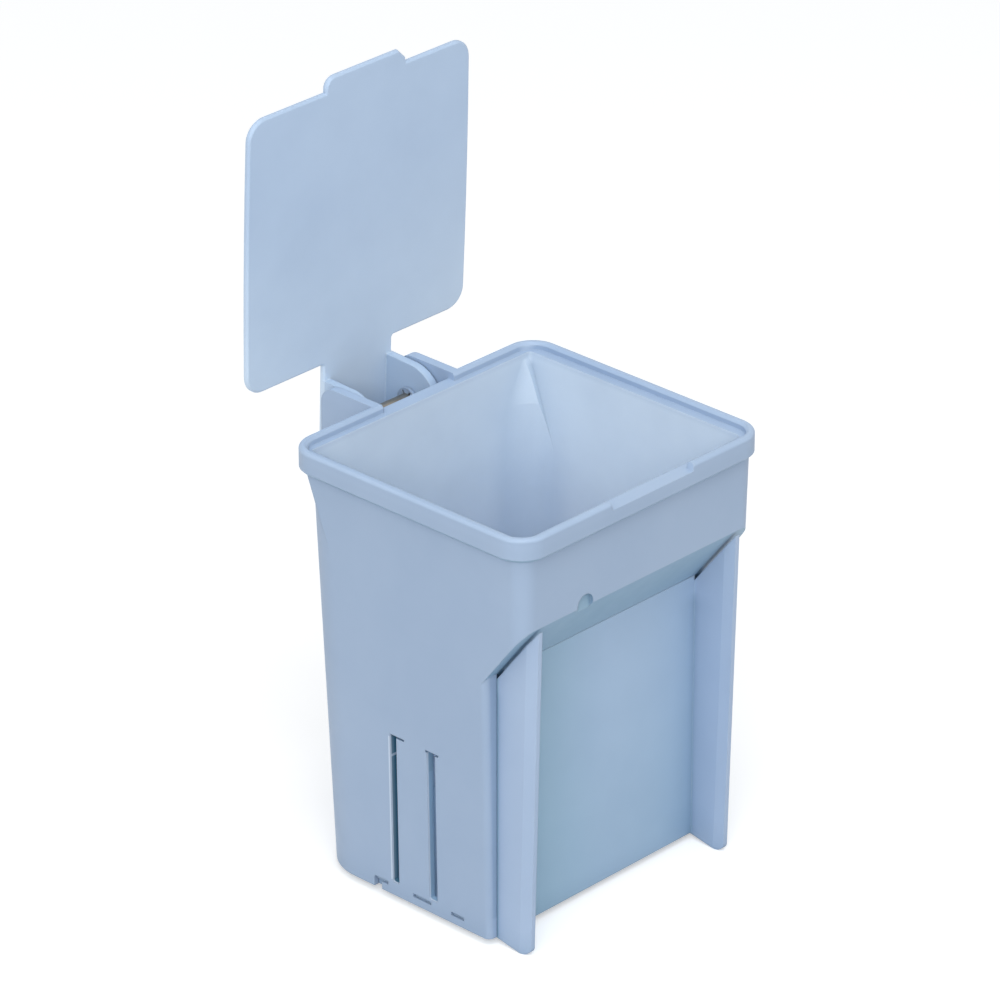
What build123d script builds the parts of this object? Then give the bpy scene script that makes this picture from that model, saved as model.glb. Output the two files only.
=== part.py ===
from build123d import *
from math import cos, hypot, radians, sin, tan
import os

os.makedirs("parts", exist_ok=True)

# A small moulded bin: an open-topped shell, a clip-on front frame with two fins, a snap-in
# base plate, and a lid that swings on a pin between two cheeks behind the rim.
# Millimetres, +Z up, the front faces -Y. The origin is on the ground under the mouth's centre.

# ------------------------------------------------------------------ driving dimensions
# Stance
stand_off = 2.0                 # foot rim and fin toes reach this far below the shell
shell_height = 133.3            # shell's lower edge to the top of the rim

# Rim
rim_width = 101.2
rim_depth = 91.6
rim_corner = 9.0
rim_height = 7.2
rim_overhang_side = 2.45
rim_overhang_front = 2.1
rim_overhang_rear = 1.4
rim_edge = 1.1                  # rounding of the rim's upper edges
rim_bevel = 0.8                 # slope under the rim band, out from the wall
lip_width = 2.6                 # raised lip round the mouth
lip_edge = 0.8
lip_depth = 2.3                 # from the lip down to the ledge under the lid

# Shell walls
wall_top = 3.2
wall_base = 2.4
draft = 1.0                     # degrees
front_corner = 5.0              # front corner radius
corner_at_rim = 8.0             # rear corner radius under the rim, at the throat and at the foot
corner_at_throat = 12.5
corner_at_foot = 17.2
throat_drop = 17.3              # throat, where the corner's quick flare ends, below the rim's top
crease_at_rim = 4.3             # the side walls' flat runs on to a crease this far from the rear face
crease_slope = 0.355            # crease moves forwards by this much for each mm down
crease_drop = 37.0              # crease's lower end, where it has run out into the flat
tower_steps = 5                 # the shell is built in this many stages up to the throat
foot_corner_inside = 3.0
front_corner_edge = 2.0         # rounding of the lower front corners beside the fins

# Collar over the front recess
collar_drop = 29.3              # collar's lower edge below the rim's top
recess_depth = 14.9             # recess face behind the collar's face
recess_drop = 48.5              # where the collar's sloping underside meets the recess face
mark_from_centre = 22.4         # half-round mark in the collar's lower edge
mark_radius = 3.2
mark_depth = 1.2

# Front frame
frame_half_width = 42.7
panel_thickness = 2.0
fin_thickness = 3.2
fin_nose = 3.6                  # length of the bevels along the fin's front edge
fin_outer_bevel = 1.1
fin_inner_bevel = 0.7
fin_set_back = 2.7              # fin's front edge falls back from the collar at the bottom
toe_radius = 3.0
fin_gap = 1.0                   # open line between the fins and the collar's underside
seat_gap = 0.15                 # beside the panel in its seat

# Snap hooks of the front frame
hook_rows = (24.0, 62.0)        # hook heights above the shell's lower edge
hook_from_centre = 27.0
hook_width = 8.0
hook_thickness = 1.8
hook_catch = 0.9
hook_catch_length = 1.6
hook_gap = 0.25

# Strap slots in each side wall
slot_base = 4.3                 # slot bottom above the shell's lower edge
slot_length = 48.4
rear_slot_width = 2.6
rear_slot_centre = 8.0
front_slot_width = 3.2
front_slot_centre = -6.9
slot_corner = 0.6
slot_cap_depth = 0.9            # shallow groove across each slot's upper end
slot_cap_height = 0.7
rear_slot_cap = (3.6, 9.3)      # from and to, along the wall
front_slot_cap = (-9.8, -4.7)

# Base plate with its barbs, and the windows that they catch in
plate_thickness = 2.0
plate_top = 4.0                 # above the shell's lower edge
plate_gap = 0.2
seat_step = 0.8                 # shoulder that the plate stops against
foot_inset = 6.0
foot_width = 2.0
foot_edge = 0.5
barb_height = 0.9
barb_reach = 1.2                # out through the shell's thinned foot
barb_lead = 0.5
barb_gap = 0.15
barb_centres = (13.9, -2.3, -16.3)
barb_widths = (5.0, 6.8, 4.8)
release_notch_width = 3.0
release_notch_height = 3.0
release_notch_centre = 15.3
release_tab_thickness = 1.5     # of the plate's tab behind the notch

# Hinge
hinge_centre = 0.9              # hinge lies slightly right of the bin's middle
cheek_inner = 14.5
cheek_thickness = 3.0
cheek_reach = 19.7              # cheek's rear edge behind the rim
cheek_corner = 5.0
cheek_knee_round = 8.0
cheek_drop = 33.3               # cheek's foot on the rear wall, below the rim's top
cheek_knee_drop = 19.3
pin_radius = 2.0
pin_behind_rim = 12.6
pin_drop = 11.7                 # pin axis below the rim's top
pin_gap = 0.05                  # radial running fit
pin_head_radius = 3.4           # head outside the right cheek
pin_head_thickness = 1.2
pin_end_skin = 0.8              # left cheek is closed over the pin's end
pin_end_gap = 0.2
pin_edge = 0.4
retainer_radius = 3.6
retainer_thickness = 1.0
retainer_gap = 0.3              # between the retainer and the right lug
retainer_slits = 6
retainer_slit_width = 0.7
retainer_slit_reach = 1.0
hub_floor_thickness = 2.0
stop_height = 4.7
stop_half_width = 11.0

# Lid
lid_thickness = 2.0
lid_centre = 0.4                # lid lies slightly right of the bin's middle
lid_half_width = 44.8
lid_swing = 88.0                # degrees from standing open to closed
lid_corner = 6.5
lid_edge = 0.6
lid_bow = 0.5                   # side edges bulge by this much
lid_front_gap = 0.3
lid_rear_gap = 0.7
running_gap = 0.35              # between the lid and what it closes on or stops against
tongue_gap = 0.4
lug_radius = 10.8
lug_thickness = 2.7
tongue_fillet = 0.8

# Finger tab and the front notch that it lies in
tab_left = -13.6
tab_right = 18.5
tab_reach = 4.5
tab_round = 3.6
tab_bevel = 3.2
tab_notch_gap = 0.5
tab_notch_flare = 0.6

# ------------------------------------------------------------------ derived places
shell_base = stand_off
rim_top = shell_base + shell_height
rim_underside = rim_top - rim_height
ledge = rim_top - lip_depth
throat = rim_top - throat_drop
crease_foot = rim_top - crease_drop

front_face = -(rim_depth / 2 - rim_overhang_front)
recess_face = front_face + recess_depth
seat_face = recess_face + panel_thickness
collar_foot = rim_top - collar_drop
slope_foot = rim_top - recess_drop
slope_fall = (collar_foot - slope_foot) / recess_depth
slope_stretch = hypot(1.0, slope_fall)
slope_at_rim = front_face - collar_drop / slope_fall

lip_half_width = rim_width / 2 - lip_width
lip_front = -(rim_depth / 2 - lip_width)
lip_rear = rim_depth / 2 - lip_width
lip_corner = rim_corner - lip_width

pin_y = rim_depth / 2 + pin_behind_rim
pin_z = rim_top - pin_drop
lid_offset = ledge + running_gap - pin_z
cheek_outer = cheek_inner + cheek_thickness
tongue_half_width = cheek_inner - tongue_gap
lid_front = lip_front + lid_front_gap
lid_rear = lip_rear - lid_rear_gap

hub_floor_top = pin_z - lug_radius - 1.4 * running_gap
stop_top = hub_floor_top + stop_height
lean = radians(90.0 - lid_swing)
stop_face = pin_y + (lid_offset + (pin_z - stop_top) * sin(lean)) / cos(lean) - running_gap


# ------------------------------------------------------------------ shared geometry
def wall(height):
    """Wall thickness, thicker towards the rim."""
    rise = (height - shell_base) / (ledge - shell_base)
    return wall_base + (wall_top - wall_base) * rise


def draw_in(height):
    """How far the draft has brought each outer wall in at this height, from just under the rim."""
    return (rim_underside - height) * tan(radians(draft))


def half_width(height):
    """Outer half width of the side walls."""
    return rim_width / 2 - rim_overhang_side - draw_in(height)


def rear_face(height):
    """Outer face of the rear wall."""
    return rim_depth / 2 - rim_overhang_rear - draw_in(height)


def rear_corner(height):
    """Outer radius of the rear corners: a quick flare under the rim, then a slow one to the foot."""
    if height > throat:
        rise = (height - throat) / (rim_underside - throat)
        return corner_at_throat + (corner_at_rim - corner_at_throat) * rise
    rise = (height - shell_base) / (throat - shell_base)
    return corner_at_foot + (corner_at_throat - corner_at_foot) * rise


def crease(height):
    """How far in front of the rear face the flat of the side walls ends in a crease."""
    return crease_at_rim + (rim_underside - height) * crease_slope


def plan_outline(height, half, front, rear, front_corner, corner):
    """Rounded outline in plan, symmetrical about the YZ plane."""
    with BuildSketch(Plane.XY.offset(height)) as outline:
        with BuildLine():
            FilletPolyline(
                (-half, front), (half, front), (half, rear), (-half, rear),
                radius=[front_corner, front_corner, corner, corner],
                close=True,
            )
        make_face()
    return outline.sketch.face()


def shell_section(height, inset, corner):
    """The tapering shell's outline at one height, drawn in from its outer face by inset."""
    return plan_outline(
        height,
        half_width(height) - inset,
        front_face + draw_in(height) + inset,
        rear_face(height) - inset,
        front_corner - inset,
        corner - inset,
    )


def slope_height(y, rise=0.0):
    """Height at y of the collar's sloping underside, or of a parallel line at the distance rise."""
    return collar_foot - (y - front_face) * slope_fall + rise * slope_stretch


def side_profile(points, x=0.0):
    """A face from its corner points (y, z), in the plane square to X at x."""
    with BuildSketch(Plane.YZ.offset(x)) as profile:
        with BuildLine():
            Polyline(points, close=True)
        make_face()
    return profile.sketch.face()


def box_sketch(plane, x, y, width, height, corner=0.0):
    """A rectangle centred on (x, y) of the plane, with rounded corners where corner is given."""
    with BuildSketch(plane) as sketch:
        with Locations((x, y)):
            if corner > 0:
                RectangleRounded(width, height, corner)
            else:
                Rectangle(width, height)
    return sketch.sketch.face()


inner_front = front_face + wall_top
inner_recess = seat_face + wall_base
plate_seat = shell_base + plate_top
through = 4 * wall_top          # long enough to cut through any wall


def shell_tower(bottom, top, wall_share):
    """The shell's outer form (wall_share 0) or the room inside its walls (wall_share 1)."""
    heights = [bottom + (throat - bottom) * step / tower_steps for step in range(tower_steps + 1)]
    for low, high in zip(heights, heights[1:] + [top]):
        loft([shell_section(z, wall(z) * wall_share, rear_corner(z)) for z in (low, high)], ruled=True)


def side_flats(bottom, top, wall_share):
    """The flat of the side walls, running on over the corners' rounding as far as the crease."""
    with BuildPart(mode=Mode.PRIVATE) as flats:
        loft([shell_section(z, wall(z) * wall_share, crease_at_rim) for z in (bottom, top)], ruled=True)
        extrude(
            side_profile([
                (0, bottom),
                (rear_face(bottom) - crease(bottom), bottom),
                (rear_face(top) - crease(top), top),
                (0, top),
            ], -rim_width),
            amount=2 * rim_width,
            mode=Mode.INTERSECT,
        )
    return flats.part


# ------------------------------------------------------------------ shell cavity
# The room inside the shell, down to the shoulder that the base plate stops against.
with BuildPart() as cavity:
    shell_tower(plate_seat, rim_top, 1)
    add(side_flats(crease_foot, ledge, 1))
    extrude(
        side_profile([
            (slope_at_rim, slope_height(slope_at_rim, wall_base)),
            (inner_recess, slope_height(inner_recess, wall_base)),
            (inner_recess, plate_seat),
            (rim_depth, plate_seat),
            (rim_depth, slope_height(slope_at_rim, wall_base)),
        ], -rim_width),
        amount=2 * rim_width,
        mode=Mode.INTERSECT,
    )

# ------------------------------------------------------------------ shell
seat_inset = wall_base - seat_step
seat_half_width = half_width(shell_base) - seat_inset
seat_front = seat_face + seat_inset
seat_rear = rear_face(shell_base) - seat_inset
seat_corner = rear_corner(shell_base) - seat_inset
cheek_rear = rim_depth / 2 + cheek_reach
cheek_root = rear_face(rim_top) - wall_top / 2
barb_foot = plate_seat - (plate_thickness + barb_height) / 2


def rim_outline(height, inset):
    """The rim's outline at one height, drawn in by inset."""
    return plan_outline(
        height,
        rim_width / 2 - inset,
        inset - rim_depth / 2,
        rim_depth / 2 - inset,
        rim_corner - inset,
        rim_corner - inset,
    )


def inside_mouth(edge):
    """True for an edge that lies on or within the lip's inner outline."""
    box = edge.bounding_box()
    return box.max.X < lip_half_width + 0.1 and box.max.Y < lip_rear + 0.1 and box.min.Y > lip_front - 0.1


with BuildPart() as bin_body:
    shell_tower(shell_base, rim_underside + rim_bevel, 0)
    add(side_flats(crease_foot, rim_underside + rim_bevel, 0))
    extrude(
        side_profile([
            (slope_at_rim, rim_top),
            (recess_face, slope_foot),
            (recess_face, shell_base),
            (rim_depth, shell_base),
            (rim_depth, rim_top),
        ], -rim_width),
        amount=2 * rim_width,
        mode=Mode.INTERSECT,
    )
    front_corners = bin_body.edges().filter_by_position(Axis.Y, recess_face - 0.01, recess_face + 0.01)
    fillet(front_corners.filter_by(lambda edge: abs(edge.tangent_at(0.5).Z) > 0.9), front_corner_edge)

    # Rim band, sloping out from the wall underneath and rounded along its upper edge
    loft([rim_outline(rim_underside, rim_bevel), rim_outline(rim_underside + rim_bevel, 0)], ruled=True)
    extrude(rim_outline(rim_underside + rim_bevel, 0), amount=rim_height - rim_bevel)
    fillet(bin_body.edges().group_by(Axis.Z)[-1], rim_edge)

    # Hinge cheeks, with the pocket's floor and the stop for the open lid between them
    with BuildSketch(Plane.YZ.offset(hinge_centre - cheek_outer)) as cheek_outline:
        with BuildLine():
            FilletPolyline(
                (cheek_root, rim_top),
                (cheek_rear, rim_top),
                (cheek_rear, rim_top - cheek_knee_drop),
                (cheek_root, rim_top - cheek_drop),
                radius=[0, cheek_corner, cheek_knee_round, 0],
                close=True,
            )
        make_face()
    extrude(cheek_outline.sketch, amount=cheek_thickness)
    extrude(cheek_outline.sketch.moved(Location((cheek_outer + cheek_inner, 0, 0))), amount=cheek_thickness)
    floor_plane = Plane.XY.offset(hub_floor_top)
    hub_length = stop_face - cheek_root
    extrude(
        box_sketch(floor_plane, hinge_centre, cheek_root + hub_length / 2, 2 * cheek_inner, hub_length),
        amount=-hub_floor_thickness,
    )
    extrude(
        box_sketch(floor_plane, hinge_centre, stop_face - hub_floor_thickness / 2,
                   2 * stop_half_width, hub_floor_thickness),
        amount=stop_height,
    )

    # The room inside, the seat of the base plate and the mouth's lip
    add(cavity.part, mode=Mode.SUBTRACT)
    extrude(
        plan_outline(shell_base, seat_half_width, seat_front, seat_rear, foot_corner_inside, seat_corner),
        amount=plate_top,
        mode=Mode.SUBTRACT,
    )
    extrude(
        plan_outline(ledge, lip_half_width, lip_front, lip_rear, lip_corner, lip_corner),
        amount=lip_depth,
        mode=Mode.SUBTRACT,
    )
    chamfer(bin_body.edges().group_by(Axis.Z)[-1].filter_by(inside_mouth), lip_edge)

    # Front notch for the lid's finger tab, and the rear notch for its tongue
    with BuildSketch(Plane.XZ.offset(-inner_front)) as tab_notch:
        with BuildLine():
            Polyline(
                (tab_left - tab_notch_gap, ledge),
                (tab_right + tab_notch_gap, ledge),
                (tab_right + tab_notch_gap + tab_notch_flare, rim_top),
                (tab_left - tab_notch_gap - tab_notch_flare, rim_top),
                close=True,
            )
        make_face()
    extrude(tab_notch.sketch, amount=rim_depth / 2 + inner_front, mode=Mode.SUBTRACT)
    rear_notch_length = rim_depth / 2 - lip_rear + through
    extrude(
        box_sketch(Plane.XY.offset(ledge), hinge_centre, lip_rear - wall_top + rear_notch_length / 2,
                   2 * cheek_inner, rear_notch_length),
        amount=lip_depth,
        mode=Mode.SUBTRACT,
    )

    # Pin bore, through the right cheek and blind in the left one
    with BuildSketch(Plane.YZ.offset(hinge_centre + pin_end_skin - cheek_outer)) as cheek_bore:
        with Locations((pin_y, pin_z)):
            Circle(pin_radius + pin_gap)
    extrude(cheek_bore.sketch, amount=2 * cheek_outer, mode=Mode.SUBTRACT)

    # Seat of the front frame, and windows for its snap hooks
    seat_top = slope_height(seat_face)
    extrude(
        side_profile([
            (seat_face, shell_base),
            (seat_face, seat_top),
            (front_face, collar_foot),
            (front_face, shell_base),
        ], -frame_half_width - seat_gap),
        amount=2 * (frame_half_width + seat_gap),
        mode=Mode.SUBTRACT,
    )
    for row in hook_rows:
        for side in (-1, 1):
            extrude(
                box_sketch(Plane.XZ.offset(-seat_face), side * hook_from_centre,
                           shell_base + row + hook_thickness / 2,
                           hook_width + 2 * hook_gap, hook_thickness + 2 * hook_gap),
                amount=-2 * wall_base,
                mode=Mode.SUBTRACT,
            )

    # Strap slots through both side walls, with a shallow groove across each upper end
    left_plane = Plane.YZ.offset(-rim_width / 2)
    slot_middle = shell_base + slot_base + slot_length / 2
    for centre, width in ((rear_slot_centre, rear_slot_width), (front_slot_centre, front_slot_width)):
        extrude(
            box_sketch(left_plane, centre, slot_middle, width, slot_length, slot_corner),
            amount=rim_width,
            mode=Mode.SUBTRACT,
        )
    cap_height = shell_base + slot_base + slot_length
    cap_root = half_width(cap_height) - slot_cap_depth
    for start, end in (rear_slot_cap, front_slot_cap):
        for side in (-1, 1):
            extrude(
                box_sketch(Plane.YZ.offset(side * cap_root), (start + end) / 2, cap_height,
                           end - start, slot_cap_height),
                amount=side * through,
                mode=Mode.SUBTRACT,
            )

    # Windows for the base plate's barbs, and the notch for prising the plate out
    for centre, width in zip(barb_centres, barb_widths):
        extrude(
            box_sketch(left_plane, centre, barb_foot + barb_height / 2,
                       width + 2 * barb_gap, barb_height + 2 * barb_gap),
            amount=rim_width,
            mode=Mode.SUBTRACT,
        )
    extrude(
        box_sketch(left_plane, release_notch_centre, shell_base + release_notch_height / 2,
                   release_notch_width, release_notch_height),
        amount=rim_width,
        mode=Mode.SUBTRACT,
    )

    # Half-round mark in the collar's lower edge
    with BuildSketch(Plane.XZ.offset(-front_face)) as mark:
        with Locations((-mark_from_centre, collar_foot)):
            Circle(mark_radius)
    extrude(mark.sketch, amount=-draw_in(collar_foot) - mark_depth, mode=Mode.SUBTRACT)

# ------------------------------------------------------------------ front frame
def fin_section(height, set_back):
    """One fin's outline in plan, its nose bevelled on both sides."""
    nose = front_face + set_back
    with BuildSketch(Plane.XY.offset(height)) as section:
        with BuildLine():
            Polyline(
                (frame_half_width, seat_face),
                (frame_half_width, nose + fin_nose),
                (frame_half_width - fin_outer_bevel, nose),
                (frame_half_width - fin_thickness + fin_inner_bevel, nose),
                (frame_half_width - fin_thickness, nose + fin_nose),
                (frame_half_width - fin_thickness, seat_face),
                close=True,
            )
        make_face()
    return section.sketch.face()


with BuildPart() as front_frame:
    # One fin, leaning back towards its toe, cut to its side outline, then its mirror image
    loft([fin_section(0, fin_set_back), fin_section(collar_foot, 0)], ruled=True)
    with BuildSketch(Plane.YZ) as fin_outline:
        with BuildLine():
            FilletPolyline(
                (seat_face, shell_base),
                (seat_face, slope_height(seat_face, -fin_gap)),
                (front_face, slope_height(front_face, -fin_gap)),
                (front_face, collar_foot / 2),
                (front_face + fin_set_back, 0),
                (front_face + fin_set_back + toe_radius, 0),
                radius=[0, 0, 0, 0, toe_radius, 0],
                close=True,
            )
        make_face()
    extrude(fin_outline.sketch, amount=rim_width, mode=Mode.INTERSECT)
    mirror(about=Plane.YZ)

    # Panel between the fins
    panel_half_width = frame_half_width - fin_thickness
    extrude(
        side_profile([
            (seat_face, shell_base),
            (seat_face, slope_height(seat_face)),
            (recess_face, slope_height(recess_face)),
            (recess_face, shell_base),
        ], -panel_half_width),
        amount=2 * panel_half_width,
    )

    # Snap hooks through the shell's windows, their catches behind its wall
    for row in hook_rows:
        hook_foot = shell_base + row
        for side in (-1, 1):
            extrude(
                side_profile([
                    (seat_face, hook_foot),
                    (seat_face, hook_foot + hook_thickness),
                    (inner_recess + hook_gap, hook_foot + hook_thickness),
                    (inner_recess + hook_gap, hook_foot + hook_thickness + hook_catch),
                    (inner_recess + hook_gap + hook_catch_length, hook_foot + hook_thickness),
                    (inner_recess + hook_gap + hook_catch_length, hook_foot),
                ], side * hook_from_centre - hook_width / 2),
                amount=hook_width,
            )

# ------------------------------------------------------------------ base plate
foot_half_width = half_width(shell_base) - foot_inset
foot_front = recess_face + foot_inset
foot_rear = rear_face(shell_base) - foot_inset
foot_corner = rear_corner(shell_base) - foot_inset
plate_edge = seat_half_width - plate_gap

with BuildPart() as base_plate:
    extrude(
        plan_outline(plate_seat - plate_thickness, plate_edge, seat_front + plate_gap, seat_rear - plate_gap,
                     foot_corner_inside, seat_corner - plate_gap),
        amount=plate_thickness,
    )
    # Foot rim that the bin stands on
    extrude(
        plan_outline(0, foot_half_width, foot_front, foot_rear, foot_corner_inside, foot_corner),
        amount=plate_seat - plate_thickness,
    )
    extrude(
        plan_outline(0, foot_half_width - foot_width, foot_front + foot_width, foot_rear - foot_width,
                     foot_corner_inside, foot_corner - foot_width),
        amount=plate_seat - plate_thickness,
        mode=Mode.SUBTRACT,
    )
    chamfer(base_plate.edges().group_by(Axis.Z)[0], foot_edge)
    # Tabs behind the release notches, to prise the plate out by
    for side in (-1, 1):
        extrude(
            box_sketch(Plane.YZ.offset(side * (plate_edge - release_tab_thickness)), release_notch_centre,
                       (shell_base + plate_seat) / 2, 2 * release_notch_width, plate_top),
            amount=side * release_tab_thickness,
        )
    # Barbs that spring into the shell's windows, led in by their sloping tops
    for centre, width in zip(barb_centres, barb_widths):
        for side in (-1, 1):
            with BuildSketch(Plane.XZ.offset(-centre - width / 2)) as barb:
                with BuildLine():
                    Polyline(
                        (side * (plate_edge - plate_thickness), barb_foot),
                        (side * (plate_edge + barb_reach), barb_foot),
                        (side * (plate_edge + barb_reach - barb_lead), barb_foot + barb_height),
                        (side * (plate_edge - plate_thickness), barb_foot + barb_height),
                        close=True,
                    )
                make_face()
            extrude(barb.sketch, amount=width, dir=(0, -1, 0))

# ------------------------------------------------------------------ lid
# Drawn as it lies closed, in a plane through the pin axis that is turned back to its open rest.
swing = radians(lid_swing)
lid_plane = Plane(origin=(0, pin_y, pin_z), x_dir=(1, 0, 0), z_dir=(0, sin(swing), cos(swing)))
lug_plane = Plane(origin=(0, pin_y, pin_z), x_dir=lid_plane.y_dir, z_dir=(1, 0, 0))
front_edge = lid_front - pin_y
rear_edge = lid_rear - pin_y
middle_edge = (front_edge + rear_edge) / 2
lid_left = lid_centre + lid_bow - lid_half_width
lid_right = lid_centre - lid_bow + lid_half_width

with BuildPart() as lid:
    with BuildSketch(lid_plane.offset(lid_offset)) as lid_outline:
        with BuildLine():
            Line((lid_left, front_edge), (lid_right, front_edge))
            ThreePointArc((lid_right, front_edge), (lid_right + lid_bow, middle_edge), (lid_right, rear_edge))
            Line((lid_right, rear_edge), (lid_left, rear_edge))
            ThreePointArc((lid_left, rear_edge), (lid_left - lid_bow, middle_edge), (lid_left, front_edge))
        make_face()
        fillet(lid_outline.vertices(), lid_corner)
        # Tongue to the hinge
        with Locations((hinge_centre, (rear_edge + lug_radius) / 2)):
            Rectangle(2 * tongue_half_width, lug_radius - rear_edge)
        inner_corners = lid_outline.vertices().filter_by_position(
            Axis.X, hinge_centre - tongue_half_width, hinge_centre + tongue_half_width)
        fillet(inner_corners.filter_by_position(Axis.Y, rear_edge, rear_edge), tongue_fillet)

        # Finger tab, rounded on one corner and bevelled on the other
        with BuildSketch(mode=Mode.PRIVATE) as tab:
            with Locations(((tab_left + tab_right) / 2, front_edge - tab_reach / 2 + lid_edge)):
                Rectangle(tab_right - tab_left, tab_reach + 2 * lid_edge)
            tip_corners = tab.vertices().group_by(Axis.Y)[0].sort_by(Axis.X)
            fillet(tip_corners[0], tab_round)
            chamfer(tab.vertices().group_by(Axis.Y)[0].sort_by(Axis.X)[-1], tab_bevel)
        add(tab.sketch)
    extrude(amount=lid_thickness)
    lid_faces = lid.faces().sort_by(Axis(lid_plane.origin, lid_plane.z_dir))
    chamfer(lid_faces[0].outer_wire().edges() + lid_faces[-1].outer_wire().edges(), lid_edge)

    # Two lugs that hang from the tongue and carry it on the pin
    for inner in (hinge_centre - tongue_half_width, hinge_centre + tongue_half_width - lug_thickness):
        with BuildSketch(lug_plane.offset(inner)) as lug:
            Circle(lug_radius)
            with Locations((0, (lid_offset + lid_edge) / 2)):
                Rectangle(2 * lug_radius, lid_offset + lid_edge)
        extrude(lug.sketch, amount=lug_thickness)
    with BuildSketch(lug_plane.offset(hinge_centre - tongue_half_width)) as lug_bore:
        Circle(pin_radius + pin_gap)
    extrude(lug_bore.sketch, amount=2 * tongue_half_width, mode=Mode.SUBTRACT)

# ------------------------------------------------------------------ hinge pin and its retainer
pin_centre = (pin_y, pin_z)

with BuildPart() as hinge_pin:
    pin_end = hinge_centre + pin_end_skin + pin_end_gap - cheek_outer
    with BuildSketch(Plane.YZ.offset(pin_end)) as shank:
        with Locations(pin_centre):
            Circle(pin_radius)
    extrude(shank.sketch, amount=hinge_centre + cheek_outer - pin_end)
    chamfer(hinge_pin.edges().sort_by(Axis.X)[0], pin_edge)
    with BuildSketch(Plane.YZ.offset(hinge_centre + cheek_outer)) as head:
        with Locations(pin_centre):
            Circle(pin_head_radius)
    extrude(head.sketch, amount=pin_head_thickness)
    chamfer(hinge_pin.edges().sort_by(Axis.X)[-1], pin_edge)

with BuildPart() as pin_retainer:
    retainer_place = hinge_centre + tongue_half_width - lug_thickness - retainer_gap
    with BuildSketch(Plane.YZ.offset(retainer_place)) as washer:
        with Locations(pin_centre):
            Circle(retainer_radius)
            Circle(pin_radius, mode=Mode.SUBTRACT)
            with PolarLocations(pin_radius, retainer_slits):
                Rectangle(2 * retainer_slit_reach, retainer_slit_width, mode=Mode.SUBTRACT)
    extrude(washer.sketch, amount=-retainer_thickness)

# ------------------------------------------------------------------ files, one for each piece
pieces = {
    "bin_body": bin_body,
    "front_frame": front_frame,
    "base_plate": base_plate,
    "lid": lid,
    "hinge_pin": hinge_pin,
    "pin_retainer": pin_retainer,
}
for name, piece in pieces.items():
    piece.part.label = name
    export_step(piece.part, "parts/" + name + ".step")
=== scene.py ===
import math

import bpy
from mathutils import Matrix, Vector

# A small moulded waste bin: pale blue satin plastic, its lid standing open. Metres, in the CAD's frame.

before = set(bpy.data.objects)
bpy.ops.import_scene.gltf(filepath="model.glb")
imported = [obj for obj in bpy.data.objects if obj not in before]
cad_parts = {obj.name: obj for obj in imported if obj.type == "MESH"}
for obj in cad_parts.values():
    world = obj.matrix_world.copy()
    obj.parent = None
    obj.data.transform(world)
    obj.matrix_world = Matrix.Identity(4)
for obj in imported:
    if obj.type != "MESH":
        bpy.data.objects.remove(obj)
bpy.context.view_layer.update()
scene = bpy.context.scene
MM = 0.001


# ---------------------------------------------------------------- node helpers
def linear(red, green, blue):
    """An sRGB colour in 0-255 as the linear colour that a shader takes."""
    out = []
    for value in (red, green, blue):
        value /= 255
        out.append(value / 12.92 if value <= 0.04045 else ((value + 0.055) / 1.055) ** 2.4)
    return (*out, 1.0)


def band(n, value, low, high, soft=0.1):
    """1 where a value in metres lies between two places in mm."""
    rise = n.remap(value, (low - soft) * MM, (low + soft) * MM)
    return n.math("MULTIPLY", rise, n.remap(value, (high + soft) * MM, (high - soft) * MM))


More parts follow.
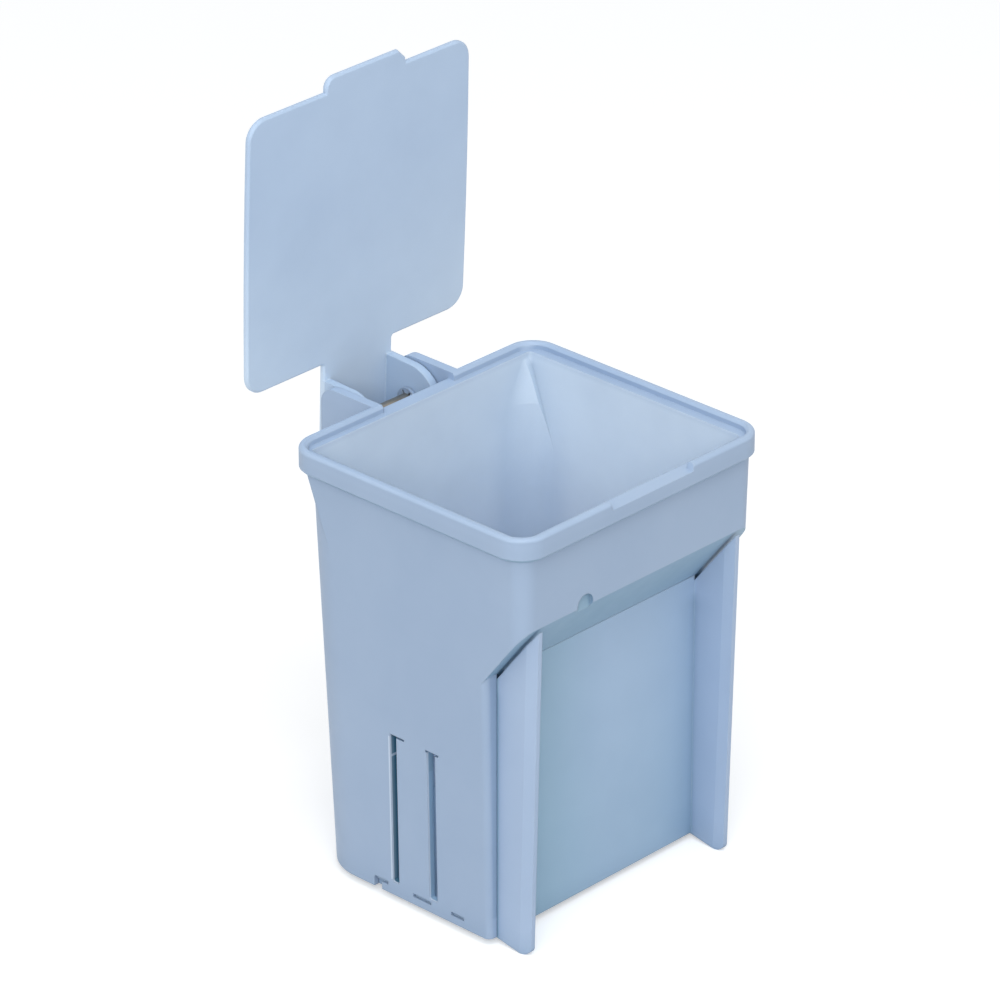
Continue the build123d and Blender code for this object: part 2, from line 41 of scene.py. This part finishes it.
class Nodes:
    """Short calls for building a material's node tree."""

    def __init__(self, name):
        self.material = bpy.data.materials.new(name)
        self.material.use_nodes = True
        self.tree = self.material.node_tree
        self.tree.nodes.clear()
        self.output = self.add("ShaderNodeOutputMaterial")
        self.coords = self.add("ShaderNodeTexCoord").outputs["Object"]

    def add(self, kind, **settings):
        node = self.tree.nodes.new(kind)
        for key, value in settings.items():
            setattr(node, key, value)
        return node

    def feed(self, source, socket):
        """Links a socket, or sets a plain value on it."""
        if isinstance(source, bpy.types.NodeSocket):
            self.tree.links.new(source, socket)
        else:
            socket.default_value = source

    def noise(self, scale, detail=4.0, roughness=0.5, stretch=(1, 1, 1)):
        mapping = self.add("ShaderNodeMapping")
        mapping.inputs["Scale"].default_value = stretch
        self.feed(self.coords, mapping.inputs["Vector"])
        node = self.add("ShaderNodeTexNoise")
        self.feed(mapping.outputs[0], node.inputs["Vector"])
        node.inputs["Scale"].default_value = scale
        node.inputs["Detail"].default_value = detail
        node.inputs["Roughness"].default_value = roughness
        return node.outputs["Fac"]

    def remap(self, value, low, high, to_low=0.0, to_high=1.0, smooth=False):
        node = self.add("ShaderNodeMapRange")
        if smooth:
            node.interpolation_type = "SMOOTHSTEP"
        for source, name in zip((value, low, high, to_low, to_high),
                                ("Value", "From Min", "From Max", "To Min", "To Max")):
            self.feed(source, node.inputs[name])
        return node.outputs[0]

    def math(self, operation, a, b=0.0):
        node = self.add("ShaderNodeMath", operation=operation)
        self.feed(a, node.inputs[0])
        self.feed(b, node.inputs[1])
        return node.outputs[0]

    def mix(self, factor, a, b, blend="MIX"):
        node = self.add("ShaderNodeMix", data_type="RGBA", blend_type=blend)
        self.feed(factor, node.inputs[0])
        self.feed(a, node.inputs[6])
        self.feed(b, node.inputs[7])
        return node.outputs[2]

    def edges(self, radius):
        """1 on rounded-over corners and edges, 0 on open faces."""
        bevel = self.add("ShaderNodeBevel", samples=6)
        bevel.inputs["Radius"].default_value = radius
        geometry = self.add("ShaderNodeNewGeometry")
        dot = self.add("ShaderNodeVectorMath", operation="DOT_PRODUCT")
        self.feed(bevel.outputs[0], dot.inputs[0])
        self.feed(geometry.outputs["Normal"], dot.inputs[1])
        return self.remap(dot.outputs["Value"], 0.995, 0.8)

    def hollows(self, distance, inside=False):
        """1 in the open, falling to 0 deep in a crevice."""
        node = self.add("ShaderNodeAmbientOcclusion", samples=8, inside=inside)
        node.inputs["Distance"].default_value = distance
        return node.outputs["AO"]

    def axes(self):
        node = self.add("ShaderNodeSeparateXYZ")
        self.feed(self.coords, node.inputs[0])
        return node.outputs

    def height(self):
        return self.axes()["Z"]

    def bump(self, height, strength, distance, normal=None):
        node = self.add("ShaderNodeBump")
        node.inputs["Strength"].default_value = strength
        node.inputs["Distance"].default_value = distance
        self.feed(height, node.inputs["Height"])
        if normal is not None:
            self.feed(normal, node.inputs["Normal"])
        return node.outputs[0]

    def rounded(self, radius):
        node = self.add("ShaderNodeBevel", samples=6)
        node.inputs["Radius"].default_value = radius
        return node.outputs[0]


# ---------------------------------------------------------------- places on the shell
SLOPE = math.tan(math.radians(1.0))         # draft of the walls


def inside_shell(n):
    """Masks by the distance in from the shell's outline: inner faces, corners, cut faces, their deep part."""
    x, y, z = (n.axes()[axis] for axis in "XYZ")
    draw_in = n.math("MULTIPLY", n.math("SUBTRACT", 128.1 * MM, z), SLOPE)
    half = n.math("SUBTRACT", 48.15 * MM, draw_in)
    depth = n.math("SUBTRACT", 44.05 * MM, draw_in)
    slow = n.math("SUBTRACT", 17.2 * MM, n.math("MULTIPLY", n.math("SUBTRACT", z, 2 * MM), 0.0405))
    quick = n.math("SUBTRACT", 12.5 * MM, n.math("MULTIPLY", n.math("SUBTRACT", z, 118 * MM), 0.4455))
    rear = n.math("MINIMUM", slow, quick)
    behind_middle = n.math("GREATER_THAN", y, 0.0)
    corner = n.math("ADD", 5 * MM, n.math("MULTIPLY", n.math("SUBTRACT", rear, 5 * MM), behind_middle))
    over_x = n.math("ADD", n.math("SUBTRACT", n.math("ABSOLUTE", x), half), corner)
    centred = n.math("ABSOLUTE", n.math("SUBTRACT", y, 0.35 * MM))
    over_y = n.math("ADD", n.math("SUBTRACT", centred, depth), corner)
    far_x = n.math("MAXIMUM", over_x, 0.0)
    far_y = n.math("MAXIMUM", over_y, 0.0)
    length = n.math("SQRT", n.math("ADD", n.math("MULTIPLY", far_x, far_x), n.math("MULTIPLY", far_y, far_y)))
    near = n.math("MINIMUM", n.math("MAXIMUM", over_x, over_y), 0.0)
    outline = n.math("SUBTRACT", n.math("ADD", length, near), corner)
    # above the sloping underside or behind the recess
    rise = n.math("MULTIPLY", n.math("SUBTRACT", -28.8 * MM, y), 1.2886)
    slope = n.math("SUBTRACT", n.math("SUBTRACT", z, 86.8 * MM), rise)
    behind = n.math("MAXIMUM", n.math("ADD", y, 25.6 * MM), n.math("SUBTRACT", slope, 2.0 * MM))
    inside = n.math("MULTIPLY", n.remap(outline, -1.2 * MM, -2.0 * MM), n.remap(behind, 0.0, 0.4 * MM))
    cut = n.remap(outline, -0.10 * MM, -0.25 * MM)
    corners = n.remap(n.math("MINIMUM", over_x, over_y), -9 * MM, 5 * MM, smooth=True)
    return inside, corners, cut, n.remap(outline, -0.45 * MM, -0.8 * MM)


# ---------------------------------------------------------------- materials
BODY_BLUE = linear(160, 180, 206)
UNDERSIDE_SHADE_BLUE = linear(142, 174, 197)
INSIDE_PAINTED_LIGHT = linear(221, 235, 249)
RIM_TOP_HIGHLIGHT = linear(172, 192, 218)
SLOT_DEEP_SHADE = linear(44, 104, 130)
SLOT_SOFT_SHADE = linear(150, 182, 210)
SLOT_TOP_SHADE = linear(140, 172, 198)
SLOT_LIP_HIGHLIGHT = linear(214, 226, 242)
LID_BLUE = linear(183, 203, 228)
TONGUE_PAINTED_LIGHT = linear(210, 227, 245)
LUG_BLUE = linear(184, 205, 229)
FRAME_BLUE = linear(170, 190, 217)
PANEL_BLUE = linear(168, 194, 222)
PANEL_SHADE_TEAL = linear(146, 182, 203)
BASE_BLUE = linear(152, 176, 202)


def plastic(name, colour, tint, grain=1.0):
    """Satin moulded plastic: faint mottling and flow marks, fine grain, burnished edges with a painted highlight,
    and painted shade in the hollows.
    """
    n = Nodes(name)
    shader = n.add("ShaderNodeBsdfPrincipled")
    mottle = n.noise(38.0, 3.0, 0.55)
    flow = n.noise(14.0, 2.0, 0.5, stretch=(1.0, 1.0, 0.25))
    base, shade_share = tint(n, colour)
    darker = n.mix(n.remap(mottle, 0.35, 0.68, 0.0, 0.10), base, linear(120, 146, 180))
    mixed = n.mix(n.remap(flow, 0.4, 0.65, 0.0, 0.08), darker, linear(205, 220, 238))
    # burnished edges: painted highlight, paler as if catching light, and smoother in roughness
    edge = n.edges(0.45 * MM)
    edge_highlight_and_burnish = n.math("MULTIPLY", edge, n.remap(n.noise(320.0, 4.0), 0.3, 0.6, 0.25, 1.0))
    mixed = n.mix(n.math("MULTIPLY", edge_highlight_and_burnish, 0.40), mixed, linear(208, 223, 240))
    # painted shade deep in the grooves and slots, darker where ambient occlusion is strong
    open_air = n.hollows(5 * MM)
    crevice_shade = n.remap(open_air, 0.2, 0.72, 0.42, 0.0)
    mixed = n.mix(n.math("MULTIPLY", crevice_shade, shade_share), mixed, linear(74, 108, 138))
    # wider painted shade over the larger hollows
    hollow_shade = n.remap(n.hollows(14 * MM), 0.3, 0.85, 0.34, 0.0)
    mixed = n.mix(n.math("MULTIPLY", hollow_shade, shade_share), mixed, linear(100, 134, 166))
    n.feed(mixed, shader.inputs["Base Color"])

    rough = n.remap(n.noise(160.0, 5.0, 0.6), 0.3, 0.7, 0.42, 0.54)
    rough = n.math("SUBTRACT", rough, n.math("MULTIPLY", edge_highlight_and_burnish, 0.12))
    n.feed(rough, shader.inputs["Roughness"])
    shader.inputs["IOR"].default_value = 1.49
    shader.inputs["Specular IOR Level"].default_value = 0.42
    shader.inputs["Subsurface Weight"].default_value = 0.0

    fine = n.bump(n.noise(1500.0, 3.0, 0.6), 0.16 * grain, 0.05 * MM, n.rounded(0.5 * MM))
    waves = n.bump(n.noise(55.0, 2.0), 0.10, 0.6 * MM, fine)
    n.feed(waves, shader.inputs["Normal"])
    n.feed(shader.outputs[0], n.output.inputs[0])
    return n.material


def steel(name, colour, along, metallic=1.0):
    """Drawn steel: fine scratches along one axis, some tarnish, edges brighter from wear."""
    n = Nodes(name)
    shader = n.add("ShaderNodeBsdfPrincipled")
    stretch = tuple(0.06 if axis == along else 1.0 for axis in "XYZ")
    lines = n.noise(2600.0, 4.0, 0.6, stretch=stretch)
    tarnish = n.noise(420.0, 4.0, 0.6)
    base = n.mix(n.remap(tarnish, 0.45, 0.7, 0.0, 0.35), colour, linear(120, 112, 100))
    base = n.mix(n.math("MULTIPLY", n.edges(0.15 * MM), 0.5), base, linear(225, 226, 228))
    n.feed(base, shader.inputs["Base Color"])
    shader.inputs["Metallic"].default_value = metallic
    n.feed(n.remap(lines, 0.3, 0.7, 0.26, 0.46), shader.inputs["Roughness"])
    n.feed(n.bump(lines, 0.25, 0.02 * MM, n.rounded(0.15 * MM)), shader.inputs["Normal"])
    n.feed(shader.outputs[0], n.output.inputs[0])
    return n.material


def shell_tints(n, base):
    """Painted shade on faces turned down, which are cooler and darker, and painted light on the inside, which is
    paler, with painted shade in its corners; the slots and the half-round mark get painted shade and highlights of
    their own, and the slots take no painted crevice shade.
    """
    normal = n.add("ShaderNodeSeparateXYZ")
    n.feed(n.add("ShaderNodeNewGeometry").outputs["Normal"], normal.inputs[0])
    # painted shade: faces turned down take a darker, cooler blue
    base = n.mix(n.remap(normal.outputs["Z"], -0.25, -0.5), base, UNDERSIDE_SHADE_BLUE)
    inside, corners, cut, deep = inside_shell(n)
    # painted light: the inside is paler, a little less so low down, and painted shade darkens its corners, more
    # the lower they lie
    inside_light = n.mix(n.remap(n.height(), 70 * MM, 115 * MM, smooth=True), linear(214, 226, 242), INSIDE_PAINTED_LIGHT)
    corner_shade = n.remap(n.height(), 126 * MM, 84 * MM, 0.2, 0.62, smooth=True)
    inside_light = n.mix(n.math("MULTIPLY", corners, corner_shade), inside_light, linear(182, 201, 224))
    base = n.mix(inside, base, inside_light)
    # the strap slots' cut faces, and the half-round mark in the collar: painted shade deep in the slots, darkest
    # in the rear one and darker on the front one's upper part, and a painted highlight on their lips and on the
    # rear slot's step
    places = n.axes()
    beside = n.remap(n.math("ABSOLUTE", places["X"]), 42 * MM, 43 * MM)
    unshaded = n.math("MULTIPLY", n.math("MULTIPLY", cut, beside), n.remap(places["Z"], 9 * MM, 8 * MM))
    step = n.math("MULTIPLY", band(n, places["Z"], 47.3, 48.1), 0.6)
    upper = n.remap(places["Z"], 47.6 * MM, 48.0 * MM)
    rear_slot = (6.6, 9.4, SLOT_DEEP_SHADE, step, SLOT_LIP_HIGHLIGHT)
    front_slot = (-8.6, -5.2, SLOT_SOFT_SHADE, upper, SLOT_TOP_SHADE)
    for low, high, colour, mask, other in (rear_slot, front_slot):
        slot = n.math("MULTIPLY", band(n, places["Y"], low, high), band(n, places["Z"], 6.2, 54.8))
        slot = n.math("MULTIPLY", slot, n.math("MULTIPLY", cut, beside))
        walls = n.mix(mask, colour, other)
        base = n.mix(slot, base, n.mix(deep, SLOT_LIP_HIGHLIGHT, walls))
        unshaded = n.math("MAXIMUM", unshaded, slot)
    # painted highlight along the rear slot's edge
    cut_edge_highlight = n.math("MULTIPLY", band(n, places["Y"], 9.35, 9.9), band(n, places["Z"], 7.0, 54.2))
    cut_edge_highlight = n.math("MULTIPLY", cut_edge_highlight, n.math("MULTIPLY", beside, n.math("SUBTRACT", 1.0, inside)))
    base = n.mix(n.math("MULTIPLY", cut_edge_highlight, 0.7), base, SLOT_LIP_HIGHLIGHT)
    # painted shade: the half-round mark takes the underside's shaded blue
    across = n.math("ADD", places["X"], 22.4 * MM)
    above = n.math("SUBTRACT", places["Z"], 106.0 * MM)
    reach = n.math("SQRT", n.math("ADD", n.math("MULTIPLY", across, across), n.math("MULTIPLY", above, above)))
    mark = n.math("MULTIPLY", n.remap(reach, 3.3 * MM, 3.15 * MM), n.remap(places["Y"], -43.25 * MM, -43.1 * MM))
    mark = n.math("MULTIPLY", mark, n.remap(places["Y"], -41.0 * MM, -41.5 * MM))
    base = n.mix(mark, base, UNDERSIDE_SHADE_BLUE)
    # painted light: the rim's top, facing up, is paler
    top = n.math("MULTIPLY", n.remap(n.height(), 131.0 * MM, 132.5 * MM), n.remap(normal.outputs["Z"], -0.1, 0.5))
    # the hinge hub and the rim's ledge take less painted crevice shade
    hub = n.math("MULTIPLY", n.remap(places["Y"], 45.5 * MM, 47 * MM), n.remap(places["Z"], 108 * MM, 112 * MM))
    shade_free = n.math("MULTIPLY", n.math("MAXIMUM", hub, n.remap(places["Z"], 129 * MM, 130.5 * MM)), 0.7)
    unshaded = n.math("MAXIMUM", unshaded, shade_free)
    return n.mix(top, base, RIM_TOP_HIGHLIGHT), n.math("SUBTRACT", 1.0, unshaded)


def frame_tints(n, base):
    """Painted shade: the panel is cooler and darker than the fins, most of all towards its bottom and towards the
    left fin; above 82 mm the frame takes no painted crevice shade.
    """
    panel = n.remap(n.axes()["Y"], -29.6 * MM, -29.0 * MM)
    # painted shade: the panel darkens towards its bottom and turns teal towards the left fin
    panel_shade = n.mix(n.remap(n.height(), 0.0, 85 * MM, smooth=True), linear(155, 184, 210), PANEL_BLUE)
    panel_shade = n.mix(n.remap(n.axes()["X"], 5 * MM, -32 * MM, 0.0, 0.8, smooth=True), panel_shade, PANEL_SHADE_TEAL)
    top = n.remap(n.height(), 78 * MM, 82 * MM)
    return n.mix(panel, base, panel_shade), n.math("SUBTRACT", 1.0, top)


def lid_tints(n, base):
    """Painted light: the tongue and the lid's rear edge are a little paler, against the shade the bin casts low on
    the lid; its lugs, in the hinge's shade, are darker than the tongue.
    """
    # painted light: paler lower down on the standing lid
    base = n.mix(n.remap(n.height(), 204 * MM, 126 * MM, smooth=True), base, TONGUE_PAINTED_LIGHT)
    lean = n.math("MULTIPLY", n.math("SUBTRACT", n.height(), 123.9 * MM), 0.0349)
    upright = n.math("ADD", n.axes()["Y"], lean)
    return n.mix(n.remap(upright, 67.9 * MM, 67.6 * MM), base, LUG_BLUE), 0.35


def base_tints(n, base):
    """The plate takes only a quarter of the painted crevice shade, so its edges, which show in the windows of the
    shell, stay light.
    """
    return base, 0.25


finishes = {
    "bin_body": plastic("moulded_body", BODY_BLUE, tint=shell_tints),
    "front_frame": plastic("moulded_frame", FRAME_BLUE, tint=frame_tints),
    "base_plate": plastic("moulded_base", BASE_BLUE, tint=base_tints),
    "lid": plastic("moulded_lid", LID_BLUE, tint=lid_tints),
    "hinge_pin": steel("drawn_steel", linear(158, 150, 138), "X"),
    "pin_retainer": steel("coated_steel", linear(160, 180, 205), "Y", metallic=0.15),
}
for node, finish in finishes.items():
    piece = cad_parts[node]
    if not piece.material_slots:
        piece.data.materials.append(finish)
    for slot in piece.material_slots:
        slot.material = finish


# ---------------------------------------------------------------- floor
def pale_floor():
    """Near-white floor that keeps the object's soft shadow."""
    n = Nodes("pale_floor")
    paths = n.add("ShaderNodeLightPath")
    diffuse = n.add("ShaderNodeBsdfDiffuse")
    diffuse.inputs["Color"].default_value = (0.80, 0.80, 0.80, 1)
    glow = n.add("ShaderNodeEmission")
    seen = n.math("MAXIMUM", paths.outputs["Is Camera Ray"], paths.outputs["Is Glossy Ray"])
    seen = n.math("MAXIMUM", seen, paths.outputs["Is Transmission Ray"])
    n.feed(n.math("MULTIPLY", seen, 0.42), glow.inputs["Strength"])
    both = n.add("ShaderNodeAddShader")
    n.feed(diffuse.outputs[0], both.inputs[0])
    n.feed(glow.outputs[0], both.inputs[1])
    n.feed(both.outputs[0], n.output.inputs[0])
    return n.material


bpy.ops.mesh.primitive_plane_add(size=6.0, location=(0, 0, 0))
floor = bpy.context.object
floor.name = "floor"
floor.data.materials.append(pale_floor())

# ---------------------------------------------------------------- light
world = bpy.data.worlds.new("studio")
scene.world = world
world.use_nodes = True
tree = world.node_tree
tree.nodes.clear()
out = tree.nodes.new("ShaderNodeOutputWorld")
mix = tree.nodes.new("ShaderNodeMixShader")
paths = tree.nodes.new("ShaderNodeLightPath")
lit = tree.nodes.new("ShaderNodeBackground")
lit.inputs["Color"].default_value = (0.97, 0.985, 1.0, 1)
lit.inputs["Strength"].default_value = 0.55
seen = tree.nodes.new("ShaderNodeBackground")
seen.inputs["Color"].default_value = (1, 1, 1, 1)
seen.inputs["Strength"].default_value = 1.0
camera_or_glossy = tree.nodes.new("ShaderNodeMath")
camera_or_glossy.operation = "MAXIMUM"
any_seen = tree.nodes.new("ShaderNodeMath")
any_seen.operation = "MAXIMUM"
tree.links.new(paths.outputs["Is Camera Ray"], camera_or_glossy.inputs[0])
tree.links.new(paths.outputs["Is Glossy Ray"], camera_or_glossy.inputs[1])
tree.links.new(camera_or_glossy.outputs[0], any_seen.inputs[0])
tree.links.new(paths.outputs["Is Transmission Ray"], any_seen.inputs[1])
tree.links.new(any_seen.outputs[0], mix.inputs[0])
tree.links.new(lit.outputs[0], mix.inputs[1])
tree.links.new(seen.outputs[0], mix.inputs[2])
tree.links.new(mix.outputs[0], out.inputs[0])


def soft_light(name, place, target, size, power, colour=(1, 1, 1)):
    lamp = bpy.data.lights.new(name, "AREA")
    lamp.shape = "SQUARE"
    lamp.size = size
    lamp.energy = power
    lamp.color = colour
    piece = bpy.data.objects.new(name, lamp)
    scene.collection.objects.link(piece)
    piece.location = place
    piece.rotation_euler = (Vector(target) - Vector(place)).to_track_quat("-Z", "Y").to_euler()
    return piece


centre = (0, 0, 0.11)
soft_light("key", (-1.3, -0.9, 1.1), centre, 1.0, 8.5)
soft_light("camera_side", (-1.0, -0.95, 0.95), centre, 0.8, 2.5)
soft_light("left", (-0.65, 0.0, 0.75), centre, 0.5, 0.7, (1.0, 0.99, 0.97))
soft_light("high_front", (-0.15, -0.3, 1.0), (0, 0.05, 0.15), 0.4, 2.4, (0.94, 1.0, 1.03))

# ---------------------------------------------------------------- camera
AZIMUTH = math.radians(-46.55)
ELEVATION = math.radians(26.69)
RIM_CENTRE = Vector((0, 0, 0.1353))
DISTANCE = 1.7917
SHIFT_RIGHT = -0.00769
SHIFT_UP = -0.01792

back = Vector((
    math.sin(AZIMUTH) * math.cos(ELEVATION),
    -math.cos(AZIMUTH) * math.cos(ELEVATION),
    math.sin(ELEVATION),
))
right = Vector((math.cos(AZIMUTH), math.sin(AZIMUTH), 0))
up = back.cross(right)
lens = bpy.data.cameras.new("camera")
lens.sensor_width = 36.0
lens.lens = 229.0
lens.clip_start = 0.01
camera = bpy.data.objects.new("camera", lens)
scene.collection.objects.link(camera)
turned = Matrix((right, up, back)).transposed().to_4x4()
camera.matrix_world = Matrix.Translation(
    RIM_CENTRE + DISTANCE * back + SHIFT_RIGHT * right + SHIFT_UP * up
) @ turned
scene.camera = camera

scene.view_settings.view_transform = "Standard"
